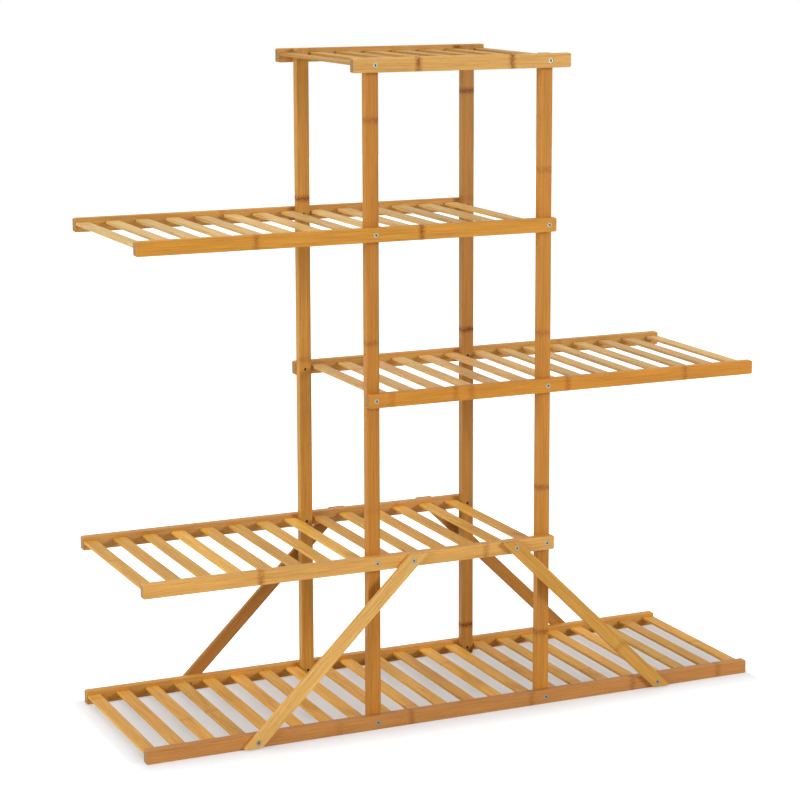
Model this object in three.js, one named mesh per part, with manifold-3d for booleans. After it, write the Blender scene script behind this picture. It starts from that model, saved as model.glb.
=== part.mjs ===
// Tiered plant stand of bamboo bars: five slatted shelves screwed to four posts.
// Three shelves reach out to one side and the bottom one to both, and four flat
// diagonal braces tie the second shelf to the long bottom one.
//
// Millimetres. +X runs along the shelves to the right, +Y to the rear, +Z up.
// The origin is on the floor under the middle of the stand.

import * as THREE from 'three';
import { mergeVertices } from 'three/addons/utils/BufferGeometryUtils.js';
import Module from 'manifold-3d';

const wasm = await Module();
wasm.setup();

// Posts: upright flat bars inside the rails
const POST_WIDTH = 20;
const POST_THICKNESS = 14;

// Rails: the long bars along the front and rear edge of each shelf
const RAIL_HEIGHT = 21;
const RAIL_THICKNESS = 13;
const RAIL_END_MARGIN = 1.5; // rail end beyond its outermost slat
const RAIL_PAST_POST = 2; // rail end beyond the post, on a side with no wing

// Shelves
const SHELF_DEPTH = 305; // outer face of the front rail to outer face of the rear rail
const TIER_PITCH = 242.5; // one shelf to the next
const BAY_SLATS = 6; // slats between the posts
const WING_SLATS = 8; // slats on a side that reaches out
const TOP_WING_SLATS = 1; // slats outside each post on the top shelf

// Slats: thin flat bars let into the inner faces of both rails
const SLAT_WIDTH = 20;
const SLAT_THICKNESS = 4.5;
const SLAT_DROP = 6; // slat top below the rail top
const SLAT_TENON = 6; // depth of the slat's end in each rail
const TENON_ROOT = 2; // how far the tenon is rooted in the slat
const POST_INNER_GAP = 4; // post to the slat beside it, on the middle's side
const POST_OUTER_GAP = 2.4; // post to the slat beside it, on the outer side

// Braces: flat diagonal bars on the outer faces of the rails
const BRACE_WIDTH = 20;
const BRACE_THICKNESS = 8;
const BRACE_TOP_SLATS = 2; // slats from the middle to the gap that holds the upper screw
const BRACE_FOOT_SLATS = 7; // slats from the middle to the gap that holds the lower screw
const BRACE_TOP_INSET = 8; // upper screw from the middle of its slat gap, inwards
const BRACE_FOOT_OUTSET = 7; // lower screw from the middle of its slat gap, outwards
const BRACE_TOP_DROP = 0.5; // upper end below the top of the second shelf's rail
const BRACE_FLOOR_GAP = 2; // lower end above the floor

// Screws: countersunk, with a hexagonal socket
const SCREW_HEAD_RADIUS = 4;
const SCREW_HEAD_RIM = 0.4;
const SCREW_HEAD_RECESS = 0.2; // head below the face of the wood
const SCREW_SHANK_RADIUS = 2;
const SCREW_TIP_TAPER = 1;
const POST_SCREW_COVER = 2; // depth of the screw's tip inside the post's inner face
const HEX_SOCKET_WIDTH = 3.5; // across the flats
const HEX_SOCKET_DEPTH = 1.8;

// Finish of the bars and play between parts
const EDGE_CHAMFER = 1; // along every long edge of the rails, posts and braces
const SLAT_CHAMFER = 1;
const CORNER_RADIUS = 3; // corners at the ends of the rails and posts
const BRACE_CORNER_RADIUS = 4;
const CLEARANCE = 0.3;
const CUT_THROUGH = 1; // how far a cutting shape runs past the face that it cuts
const CORNER_STEPS = 2;
const SCREW_FACETS = 12;

// Places worked out from the sizes
const SLAT_PITCH = SLAT_WIDTH + POST_INNER_GAP + POST_WIDTH + POST_OUTER_GAP;
const BAY_HALF = (BAY_SLATS / 2) * SLAT_PITCH; // to the middle of the slat gap that holds the post
const POST_X = BAY_HALF + (POST_INNER_GAP - POST_OUTER_GAP) / 2;
const POST_OUTER_X = POST_X + POST_WIDTH / 2;
const RAIL_Y = (SHELF_DEPTH - RAIL_THICKNESS) / 2;
const RAIL_INNER_Y = SHELF_DEPTH / 2 - RAIL_THICKNESS;
const POST_Y = RAIL_INNER_Y - POST_THICKNESS / 2;
const BRACE_Y = (SHELF_DEPTH + BRACE_THICKNESS) / 2;
const SLAT_Z = RAIL_HEIGHT / 2 - SLAT_DROP - SLAT_THICKNESS / 2; // slat middle from the rail middle
const BRACE_TOP_X = BRACE_TOP_SLATS * SLAT_PITCH - BRACE_TOP_INSET;
const BRACE_FOOT_X = BRACE_FOOT_SLATS * SLAT_PITCH + BRACE_FOOT_OUTSET;
const SCREW_CONE_START = SCREW_HEAD_RECESS + SCREW_HEAD_RIM; // depths below the face of the wood
const SCREW_CONE_END = SCREW_CONE_START + SCREW_HEAD_RADIUS - SCREW_SHANK_RADIUS;
const POST_SCREW_TIP = RAIL_THICKNESS + POST_THICKNESS - POST_SCREW_COVER;
const BRACE_SCREW_TIP = BRACE_THICKNESS + RAIL_THICKNESS; // level with the rail's inner face

const FRONT = { name: 'front', outward: -1 };
const REAR = { name: 'rear', outward: 1 };
const LEFT = { name: 'left', sign: -1 };
const RIGHT = { name: 'right', sign: 1 };

// Slats outside the posts on each side, from the bottom shelf up
const SHELVES = [
  { left: WING_SLATS, right: WING_SLATS },
  { left: WING_SLATS, right: 0 },
  { left: 0, right: WING_SLATS },
  { left: WING_SLATS, right: 0 },
  { left: TOP_WING_SLATS, right: TOP_WING_SLATS },
];
const STAND_HEIGHT = RAIL_HEIGHT + (SHELVES.length - 1) * TIER_PITCH;
const BRACED_SHELF = 1; // the second shelf, counted from nought

const COLOURS = {
  rail: '#d9a352',
  slat: '#dfb06a',
  post: '#c98f45',
  brace: '#dba456',
  screw: '#b9bcbf',
};

function railMiddleZ(tier) {
  return RAIL_HEIGHT / 2 + tier * TIER_PITCH;
}

// ---- Solids: booleans on closed meshes ----

function toSolid(geometry) {
  const bare = geometry.clone();
  bare.deleteAttribute('normal');
  bare.deleteAttribute('uv');
  const merged = mergeVertices(bare);
  const corners = merged.index.array;
  const triangles = [];
  for (let i = 0; i < corners.length; i += 3) {
    const [a, b, c] = corners.slice(i, i + 3);
    if (a !== b && b !== c && c !== a) triangles.push(a, b, c);
  }
  return new wasm.Manifold(new wasm.Mesh({
    numProp: 3,
    vertProperties: new Float32Array(merged.attributes.position.array),
    triVerts: new Uint32Array(triangles),
  }));
}

function toGeometry(solid) {
  const { vertProperties, triVerts } = solid.getMesh();
  const geometry = new THREE.BufferGeometry();
  geometry.setAttribute('position', new THREE.BufferAttribute(vertProperties, 3));
  geometry.setIndex(new THREE.BufferAttribute(triVerts, 1));
  geometry.computeVertexNormals();
  return geometry;
}

function cutAll(solid, tools) {
  return tools.reduce((rest, tool) => rest.subtract(tool), solid);
}

function joinAll(solid, others) {
  return others.reduce((whole, other) => whole.add(other), solid);
}

// ---- Bars ----

// An outline with each corner rounded by a curve that starts and ends a radius away from it.
function roundedShape(corners, radius) {
  const shape = new THREE.Shape();
  corners.forEach((corner, i) => {
    const before = corners[(i + corners.length - 1) % corners.length];
    const after = corners[(i + 1) % corners.length];
    const enter = before.clone().sub(corner).setLength(radius).add(corner);
    const leave = after.clone().sub(corner).setLength(radius).add(corner);
    if (i === 0) shape.moveTo(enter.x, enter.y);
    else shape.lineTo(enter.x, enter.y);
    shape.quadraticCurveTo(corner.x, corner.y, leave.x, leave.y);
  });
  shape.closePath();
  return shape;
}

// A board whose outline stands in the XZ plane, with its thickness centred on Y.
function board(corners, radius, thickness) {
  const geometry = new THREE.ExtrudeGeometry(roundedShape(corners, radius), {
    depth: thickness - 2 * EDGE_CHAMFER,
    curveSegments: CORNER_STEPS,
    bevelThickness: EDGE_CHAMFER,
    bevelSize: EDGE_CHAMFER,
    bevelOffset: -EDGE_CHAMFER,
    bevelSegments: 1,
  });
  geometry.translate(0, 0, EDGE_CHAMFER - thickness / 2);
  geometry.rotateX(Math.PI / 2);
  return geometry;
}

function rectangle(left, right, bottom, top) {
  return [
    new THREE.Vector2(left, bottom),
    new THREE.Vector2(right, bottom),
    new THREE.Vector2(right, top),
    new THREE.Vector2(left, top),
  ];
}

// ---- Screws ----

// A half section turned round the Y axis, from points of [radius, depth below the wood's face].
function turned(points) {
  const profile = points.map(([radius, depth]) => new THREE.Vector2(radius, depth));
  return new THREE.LatheGeometry(profile, SCREW_FACETS);
}

// The hole for a screw that enters at the outer face of its side and runs right through the wood.
function screwHole(side, x, faceY, z, woodThickness) {
  const headRadius = SCREW_HEAD_RADIUS + CLEARANCE;
  const shankRadius = SCREW_SHANK_RADIUS + CLEARANCE;
  const hole = turned([
    [0, -CUT_THROUGH],
    [headRadius, -CUT_THROUGH],
    [headRadius, SCREW_CONE_START],
    [shankRadius, SCREW_CONE_END],
    [shankRadius, woodThickness + CUT_THROUGH],
    [0, woodThickness + CUT_THROUGH],
  ]);
  if (side === REAR) hole.rotateZ(Math.PI);
  hole.translate(x, faceY, z);
  return toSolid(hole);
}

function hexSocket() {
  const length = HEX_SOCKET_DEPTH + CUT_THROUGH;
  const radius = HEX_SOCKET_WIDTH / Math.sqrt(3);
  const socket = new THREE.CylinderGeometry(radius, radius, length, 6);
  socket.translate(0, SCREW_HEAD_RECESS + HEX_SOCKET_DEPTH - length / 2, 0);
  return toSolid(socket);
}

function screwGeometry(tipDepth) {
  const body = turned([
    [0, SCREW_HEAD_RECESS],
    [SCREW_HEAD_RADIUS, SCREW_HEAD_RECESS],
    [SCREW_HEAD_RADIUS, SCREW_CONE_START],
    [SCREW_SHANK_RADIUS, SCREW_CONE_END],
    [SCREW_SHANK_RADIUS, tipDepth - SCREW_TIP_TAPER],
    [SCREW_SHANK_RADIUS - SCREW_TIP_TAPER, tipDepth],
    [0, tipDepth],
  ]);
  return toGeometry(toSolid(body).subtract(hexSocket()));
}

// ---- Meshes ----

function named(name, geometry, kind) {
  const metal = kind === 'screw';
  const material = new THREE.MeshStandardMaterial({
    color: COLOURS[kind],
    roughness: metal ? 0.3 : 0.55,
    metalness: metal ? 1 : 0,
  });
  const mesh = new THREE.Mesh(geometry, material);
  mesh.name = name;
  return mesh;
}

function screw(name, side, x, faceY, z, tipDepth) {
  const mesh = named(name, screwGeometry(tipDepth), 'screw');
  mesh.position.set(x, faceY, z);
  if (side === REAR) mesh.rotation.z = Math.PI;
  return mesh;
}

// ---- Shelves ----

function slatPlaces(shelf) {
  const places = [];
  for (let i = -BAY_SLATS / 2 - shelf.left; i < BAY_SLATS / 2 + shelf.right; i += 1) {
    places.push((i + 0.5) * SLAT_PITCH);
  }
  return places;
}

function railEnd(wingSlats) {
  if (wingSlats === 0) return POST_OUTER_X + RAIL_PAST_POST;
  return BAY_HALF + (wingSlats - 0.5) * SLAT_PITCH + SLAT_WIDTH / 2 + RAIL_END_MARGIN;
}

function bracePlaces(tier) {
  if (tier === 0) return [-BRACE_FOOT_X, BRACE_FOOT_X];
  if (tier === BRACED_SHELF) return [-BRACE_TOP_X, BRACE_TOP_X];
  return [];
}

// Holes through a rail, in the rail's own frame: one at each post, one at each brace.
function railHoles(side, tier) {
  const outerFace = side.outward * RAIL_THICKNESS / 2;
  const braceFace = side.outward * (RAIL_THICKNESS / 2 + BRACE_THICKNESS);
  const atPosts = [-POST_X, POST_X].map((x) => screwHole(side, x, outerFace, 0, RAIL_THICKNESS));
  const atBraces = bracePlaces(tier).map((x) => (
    screwHole(side, x, braceFace, 0, BRACE_THICKNESS + RAIL_THICKNESS)
  ));
  return [...atPosts, ...atBraces];
}

function railSolid(shelf) {
  const corners = rectangle(-railEnd(shelf.left), railEnd(shelf.right), -RAIL_HEIGHT / 2, RAIL_HEIGHT / 2);
  return toSolid(board(corners, CORNER_RADIUS, RAIL_THICKNESS));
}

// A slat in the rear rail's frame. Its rear end is glued into that rail at its full section, and
// at the front a slimmer tenon, hidden by the slat's own shoulder, goes on into the front rail.
function slatSolid(x) {
  const corners = rectangle(-SLAT_WIDTH / 2, SLAT_WIDTH / 2, -SLAT_THICKNESS / 2, SLAT_THICKNESS / 2);
  const slat = new THREE.ExtrudeGeometry(roundedShape(corners, SLAT_CHAMFER), {
    depth: 2 * RAIL_INNER_Y + SLAT_TENON,
    curveSegments: 1,
    bevelEnabled: false,
  });
  slat.rotateX(Math.PI / 2);
  slat.translate(x, RAIL_INNER_Y + SLAT_TENON - RAIL_Y, SLAT_Z);
  const tenonLength = SLAT_TENON + TENON_ROOT;
  const tenon = new THREE.BoxGeometry(
    SLAT_WIDTH - 2 * CLEARANCE,
    tenonLength,
    SLAT_THICKNESS - 2 * CLEARANCE,
  );
  tenon.translate(x, tenonLength / 2 - RAIL_INNER_Y - SLAT_TENON - RAIL_Y, SLAT_Z);
  return toSolid(slat).add(toSolid(tenon));
}

// The pocket in the front rail, in that rail's frame, for one slat's tenon.
function mortise(x) {
  const depth = SLAT_TENON + CLEARANCE + CUT_THROUGH;
  const pocket = new THREE.BoxGeometry(SLAT_WIDTH, depth, SLAT_THICKNESS);
  pocket.translate(x, RAIL_THICKNESS / 2 + CUT_THROUGH - depth / 2, SLAT_Z);
  return toSolid(pocket);
}

function frontRail(shelf, tier) {
  const mortises = slatPlaces(shelf).map(mortise);
  const solid = cutAll(railSolid(shelf), [...mortises, ...railHoles(FRONT, tier)]);
  const mesh = named(`shelf_${tier + 1}_front_rail`, toGeometry(solid), 'rail');
  mesh.position.y = -RAIL_Y;
  return mesh;
}

// The slats are glued into the rear rail, so they leave the jig as one comb with it.
function rearRailWithSlats(shelf, tier) {
  const comb = joinAll(railSolid(shelf), slatPlaces(shelf).map(slatSolid));
  const solid = cutAll(comb, railHoles(REAR, tier));
  const mesh = named(`shelf_${tier + 1}_rear_rail_and_slats`, toGeometry(solid), 'slat');
  mesh.position.y = RAIL_Y;
  return mesh;
}

function shelfScrews(tier) {
  const screws = [];
  for (const side of [FRONT, REAR]) {
    for (const end of [LEFT, RIGHT]) {
      const name = `shelf_${tier + 1}_screw_${side.name}_${end.name}`;
      screws.push(screw(name, side, end.sign * POST_X, side.outward * SHELF_DEPTH / 2, 0, POST_SCREW_TIP));
    }
  }
  return screws;
}

function shelfGroup(shelf, tier) {
  const group = new THREE.Group();
  group.position.z = railMiddleZ(tier);
  group.add(frontRail(shelf, tier), rearRailWithSlats(shelf, tier), ...shelfScrews(tier));
  return group;
}

// ---- Posts ----

function post(side, end) {
  const corners = rectangle(-POST_WIDTH / 2, POST_WIDTH / 2, 0, STAND_HEIGHT);
  const railFace = side.outward * (POST_THICKNESS / 2 + RAIL_THICKNESS);
  const holes = SHELVES.map((shelf, tier) => (
    screwHole(side, 0, railFace, railMiddleZ(tier), RAIL_THICKNESS + POST_THICKNESS)
  ));
  const solid = cutAll(toSolid(board(corners, CORNER_RADIUS, POST_THICKNESS)), holes);
  const mesh = named(`post_${side.name}_${end.name}`, toGeometry(solid), 'post');
  mesh.position.set(end.sign * POST_X, side.outward * POST_Y, 0);
  return mesh;
}

// ---- Braces ----

// The end cuts are level, so each end is wider along X than the bar is across its length.
function braceCorners(end) {
  const run = BRACE_FOOT_X - BRACE_TOP_X;
  const rise = railMiddleZ(BRACED_SHELF) - railMiddleZ(0);
  const halfEnd = (BRACE_WIDTH / 2) * Math.hypot(run, rise) / rise;
  const topZ = railMiddleZ(BRACED_SHELF) + RAIL_HEIGHT / 2 - BRACE_TOP_DROP;
  const middleX = (z) => BRACE_FOOT_X - run * (z - railMiddleZ(0)) / rise;
  return [
    [middleX(BRACE_FLOOR_GAP) - halfEnd, BRACE_FLOOR_GAP],
    [middleX(BRACE_FLOOR_GAP) + halfEnd, BRACE_FLOOR_GAP],
    [middleX(topZ) + halfEnd, topZ],
    [middleX(topZ) - halfEnd, topZ],
  ].map(([x, z]) => new THREE.Vector2(end.sign * x, z));
}

function brace(side, end) {
  const outerFace = side.outward * BRACE_THICKNESS / 2;
  const holes = [[BRACE_FOOT_X, 0], [BRACE_TOP_X, BRACED_SHELF]].map(([x, tier]) => (
    screwHole(side, end.sign * x, outerFace, railMiddleZ(tier), BRACE_THICKNESS)
  ));
  const bar = toSolid(board(braceCorners(end), BRACE_CORNER_RADIUS, BRACE_THICKNESS));
  const mesh = named(`brace_${side.name}_${end.name}`, toGeometry(cutAll(bar, holes)), 'brace');
  mesh.position.y = side.outward * BRACE_Y;
  return mesh;
}

function braceScrews(side, end) {
  const faceY = side.outward * (SHELF_DEPTH / 2 + BRACE_THICKNESS);
  return [['foot', BRACE_FOOT_X, 0], ['top', BRACE_TOP_X, BRACED_SHELF]].map(([place, x, tier]) => {
    const name = `brace_${side.name}_${end.name}_screw_${place}`;
    return screw(name, side, end.sign * x, faceY, railMiddleZ(tier), BRACE_SCREW_TIP);
  });
}

// ---- The stand ----

const stand = new THREE.Group();
stand.add(...SHELVES.map(shelfGroup));
for (const side of [FRONT, REAR]) {
  for (const end of [LEFT, RIGHT]) {
    stand.add(post(side, end), brace(side, end), ...braceScrews(side, end));
  }
}

export default stand;
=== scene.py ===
"""A tiered bamboo plant stand: rails, slats, posts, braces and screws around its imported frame."""

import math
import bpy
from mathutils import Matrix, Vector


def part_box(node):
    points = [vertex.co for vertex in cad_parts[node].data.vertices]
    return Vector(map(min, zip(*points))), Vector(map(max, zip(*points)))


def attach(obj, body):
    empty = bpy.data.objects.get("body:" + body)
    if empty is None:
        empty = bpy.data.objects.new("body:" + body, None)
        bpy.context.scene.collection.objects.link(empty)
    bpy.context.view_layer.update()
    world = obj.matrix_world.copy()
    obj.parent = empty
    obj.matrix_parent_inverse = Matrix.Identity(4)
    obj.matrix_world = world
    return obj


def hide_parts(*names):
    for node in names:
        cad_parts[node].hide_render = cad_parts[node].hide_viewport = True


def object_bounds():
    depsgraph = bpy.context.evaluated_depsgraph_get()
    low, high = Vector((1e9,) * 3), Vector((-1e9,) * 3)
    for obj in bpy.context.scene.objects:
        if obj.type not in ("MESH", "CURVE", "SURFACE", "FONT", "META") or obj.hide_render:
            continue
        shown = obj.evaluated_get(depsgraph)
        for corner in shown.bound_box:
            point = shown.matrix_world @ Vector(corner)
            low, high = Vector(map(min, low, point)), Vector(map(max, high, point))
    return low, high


bl_info = {
    "name": "Bamboo Plant Stand",
    "version": (1, 0, 0),
    "blender": (4, 5, 0),
    "location": "3D View > Sidebar > Plant Stand",
    "description": "Dresses the frame of a tiered plant stand with bamboo bars, slats and screws",
    "category": "Add Mesh",
}

import bmesh
import bpy
from bpy.props import FloatProperty, FloatVectorProperty, IntProperty, PointerProperty
from mathutils import Matrix, Vector

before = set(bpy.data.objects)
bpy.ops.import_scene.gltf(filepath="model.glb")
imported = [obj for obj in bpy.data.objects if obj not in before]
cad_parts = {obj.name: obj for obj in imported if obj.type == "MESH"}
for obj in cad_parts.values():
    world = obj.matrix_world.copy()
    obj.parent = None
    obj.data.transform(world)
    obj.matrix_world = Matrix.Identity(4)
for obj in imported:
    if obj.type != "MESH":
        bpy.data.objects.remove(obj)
CAD_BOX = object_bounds()

SHELVES = (1, 2, 3, 4, 5)  # from the lowest up
SIDES = ("front", "rear")
ENDS = ("left", "right")
MM = 0.001
PER_MM = 1000.0  # Object coordinates are metres, so this turns them to millimetres


# ---- Colours -------------------------------------------------------------------------------


def linear(code):
    """An sRGB hex colour as linear red, green and blue."""
    channels = [int(code[i : i + 2], 16) / 255 for i in (0, 2, 4)]
    return tuple(c / 12.92 if c <= 0.04045 else ((c + 0.055) / 1.055) ** 2.4 for c in channels)


# Each bar was sawn from another culm, so each has a tone of its own. "nodes" gives the places along
# the bar, in millimetres, of the culm's nodes, and how strongly each shows, from 0 to 1.
RAILS = {
    "shelf_1_front": {"tone": "C18546", "nodes": {-202: 0.25, -86: 0.5, 115: 0.45, 292: 0.55, 446: 0.5}},
    "shelf_2_front": {"tone": "DCA657", "nodes": {-322: 0.7, 37: 0.5}},
    "shelf_3_front": {"tone": "CE8A2B", "nodes": {-116: 0.4, -14: 0.5, 12: 0.5, 173: 0.7, 377: 0.5}},
    "shelf_4_front": {"tone": "CF8F30", "nodes": {-323: 0.6, -68: 0.9}},
    "shelf_5_front": {"tone": "D5A356", "nodes": {-73: 0.9, 77: 0.9}},
    "shelf_1_rear": {"tone": "D39947", "nodes": {-210: 0.2, 18: 0.3}},
    "shelf_2_rear": {"tone": "C89450", "nodes": {-400: 0.2, 20: 0.3}},
    "shelf_3_rear": {"tone": "C69248", "nodes": {-60: 0.2, 312: 0.5}},
    "shelf_4_rear": {"tone": "C99449", "nodes": {-268: 0.4, -151: 0.5}},
    "shelf_5_rear": {"tone": "C89349", "nodes": {123: 0.6}},
}
POSTS = {
    "front_left": {"tone": "BC7C2B", "nodes": {330: 0.2, 579: 0.5, 902: 0.6}},
    "front_right": {"tone": "C4832F", "nodes": {110: 0.7, 337: 0.7, 574: 0.5, 819: 0.45}},
    "rear_left": {"tone": "C38B3A", "nodes": {190: 0.2, 511: 0.4, 762: 0.9}},
    "rear_right": {"tone": "AC7834", "nodes": {49: 1.0, 538: 1.0, 749: 0.3, 919: 1.0}},
}
BRACES = {
    "front_left": {"tone": "E5B464", "nodes": {}},
    "front_right": {"tone": "CC9641", "nodes": {-134: 0.4}},
    # The rear braces are given tones much darker than the front braces'.
    "rear_left": {"tone": "A47336", "nodes": {40: 0.2}},
    "rear_right": {"tone": "AE7834", "nodes": {90: 0.3}},
}
# "seed" draws the tints of a shelf's slats. On the four lower shelves it was picked so that light and
# dark slats lie much as on the real stand.
SLATS = {
    1: {"tone": "E3AA47", "seed": 10382},
    2: {"tone": "DFAA44", "seed": 7573},
    3: {"tone": "DDB36C", "seed": 8730},
    4: {"tone": "DDB66C", "seed": 8709},
    5: {"tone": "B48635", "seed": 5},
}


def colour_property(name, description, code):
    return FloatVectorProperty(
        name=name, description=description, subtype="COLOR", size=3, min=0, max=1, default=linear(code)
    )


def number_property(name, description, value, unit="NONE"):
    return FloatProperty(name=name, description=description, unit=unit, default=value)


def length_property(name, description, millimetres):
    return number_property(name, description, millimetres * MM, "LENGTH")


class StandSizes(bpy.types.PropertyGroup):
    edge_round: length_property("Edge round", "Radius along the long edges of the bars", 1.0)
    end_round: length_property("End round", "Radius of the corners at a rail's or post's end", 2.5)
    brace_end_round: length_property("Brace end round", "Radius of a brace's corners", 1.5)
    slat_pitch: length_property("Slat pitch", "Middle of one slat to the middle of the next", 46.4)
    slat_width: length_property("Slat width", "Width of a slat", 20.0)
    slat_thickness: length_property("Slat thickness", "Thickness of a slat", 4.5)
    slat_drop: length_property("Slat drop", "Top of the slats below the top of the rails", 6.0)
    slat_round: length_property("Slat round", "Radius along the long edges of the slats", 0.9)
    pocket_depth: length_property("Pocket depth", "How deep a slat's end goes into a rail", 6.0)
    play: length_property("Play", "Play round a slat's end or a screw in its hole", 0.15)
    head_radius: length_property("Head radius", "Radius of a screw's head", 4.0)
    head_recess: length_property("Head recess", "Screw head below the face of the wood", 0.2)
    head_rim: length_property("Head rim", "Height of the straight rim of a screw's head", 0.4)
    shank_radius: length_property("Shank radius", "Radius of a screw's shank", 2.0)
    socket_width: length_property("Socket width", "Hexagonal socket across its flats", 3.5)
    socket_depth: length_property("Socket depth", "Depth of the hexagonal socket", 1.8)
    bevel_steps: IntProperty(name="Bevel steps", description="Faces round each edge", default=3, min=1)


class StandColours(bpy.types.PropertyGroup):
    node_stain: colour_property("Node stain", "Tint over the wood round the culm's nodes", "D6BE9C")
    node_scar: colour_property("Node scar", "Tint over the wood at the middle of a node", "AA8A5C")
    fibre: colour_property("Fibre", "Dark fibre bundles along the grain", "9A5F24")
    end_grain: colour_property("End grain", "Sawn ends, where the cut fibres look grey", "9C784A")
    steel: colour_property("Zinc plate", "Warm zinc on the screws", "A39C88")
    # Painted shade: this colour is laid into the screws' sockets and onto the tips that lie deep in their
    # holes; the darkening stands for shade there, not grime.
    shade: colour_property("Shade", "Grime and shade in the screws' sockets and holes", "2E241A")
    floor: colour_property("Floor", "Pale studio floor", "C6C8CA")


class StudioSettings(bpy.types.PropertyGroup):
    top_power: number_property("Top light", "Power of the soft lamp overhead", 92.0, "POWER")
    left_power: number_property("Left light", "Power of the soft lamp on the left", 178.0, "POWER")
    front_power: number_property("Front light", "Power of the lamp at the front right", 150.0, "POWER")
    ambient: number_property("Ambient", "Strength of the room's light", 0.36)
    shade_lift: number_property("Shade lift", "Glow of the floor in the stand's shade", 0.36)
    floor_lift: number_property("Floor lift", "Glow that turns the floor round the stand white", 1.0)


def sizes():
    return bpy.context.scene.plant_stand_sizes


def colours():
    return bpy.context.scene.plant_stand_colours


def studio():
    return bpy.context.scene.plant_stand_studio


# ---- Materials -----------------------------------------------------------------------------


def add_node(tree, kind, inputs=(), **settings):
    """Adds a node with its settings. An input takes a value, or (node, output) to link it from."""
    node = tree.nodes.new(kind)
    for name, value in settings.items():
        setattr(node, name, value)
    for socket, given in dict(inputs).items():
        if isinstance(given, tuple) and isinstance(given[0], bpy.types.Node):
            source, output = given
            tree.links.new(source.outputs[output], node.inputs[socket])
        else:
            node.inputs[socket].default_value = given
    return node


# Sockets that Blender gives no name of their own: those of a Mix node that mixes colours
FACTOR, FIRST, SECOND, MIXED = 0, 6, 7, 2
MULTIPLIED = {"data_type": "RGBA", "blend_type": "MULTIPLY"}  # settings of one that multiplies them


def new_material(name):
    """An empty material with its shader and output joined."""
    material = bpy.data.materials.new(name)
    material.use_nodes = True
    tree = material.node_tree
    tree.nodes.clear()
    shader = add_node(tree, "ShaderNodeBsdfPrincipled")
    add_node(tree, "ShaderNodeOutputMaterial", {"Surface": (shader, "BSDF")})
    return material, tree, shader


WHITE = (1.0, 1.0, 1.0, 1.0)


def rgba(colour):
    return (*colour, 1.0)


# Turns that bring a bar's grain onto the first axis of its pattern
GRAIN_X = (0.0, 0.0, 0.0)
GRAIN_Y = (0.0, 0.0, -math.pi / 2)
GRAIN_Z = (0.0, math.pi / 2, 0.0)

# Where each kind of piece starts in the noise, so that no two bars share a pattern
RAIL_PATTERN, POST_PATTERN, BRACE_PATTERN, SLAT_PATTERN = 1, 21, 41, 60
# Steps from a bar's own place in the noise to that of each kind of mark
FIBRE_STEP, SWAY_STEP, MOTTLE_STEP, DASH_STEP = 3, 5, 8, 11
NOISE_SPAN = {"From Min": 0.3, "From Max": 0.7}  # noise rarely goes beyond these

# Sizes of the pattern in millimetres
FIBRE_LENGTH = 70.0  # how far a fibre bundle can be followed
FIBRE_WIDTH = 1.3  # real bundles are about 0.4, too fine to show at this distance
DASH_LENGTH = 16.0  # a dark bundle where the saw cut it at a slant
DASH_WIDTH = 1.0
TONE_LENGTH = 190.0  # broad drifts of tone along a bar
TONE_WIDTH = 13.0
STRIP_WIDTH = 7.0  # the strips that are glued side by side into a bar
SWAY_LENGTH = 9.0  # a node's ragged edge
SWAY_WIDTH = 3.5
SWAY = 4.0
MOTTLE_LENGTH = 3.0  # spots in a node's stain
MOTTLE_WIDTH = 2.2
STAIN_HALF = 3.5  # half the breadth of the stain round a node
STAIN_FADE = 4.0
SCAR_HALF = 1.2  # half the breadth of the dark scar at its middle
SCAR_FADE = 2.6
EDGE_GRAIN = (1.02, 1.13, 1.3)  # how much paler the strips' edges are, in red, green and blue
PORE = 0.9  # dots in a sawn end; the bundles' real 0.4 is too fine to show

# How much one glued strip may be darker than the next, as a share of the tone
RAIL_STRIPS = 0.06
POST_STRIPS = 0.16

POST_EDGES = (1.0, 0.0, 0.0)  # the way that the edges of a post's strips face

SLAT_NODE_STRENGTH = 0.35


def streaks(tree, grain, length, width, seed, detail=3.0, roughness=0.5):
    """Noise drawn out along the grain, with features of this length and width in millimetres."""
    drawn = add_node(
        tree,
        "ShaderNodeMapping",
        {
            "Vector": (grain, "Vector"),
            "Scale": (1 / length, 1 / width, 1 / width),
            "Location": (seed, 0.7 * seed, 1.3 * seed),
        },
    )
    return add_node(
        tree,
        "ShaderNodeTexNoise",
        {"Vector": (drawn, "Vector"), "Scale": 1.0, "Detail": detail, "Roughness": roughness},
    )


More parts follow.
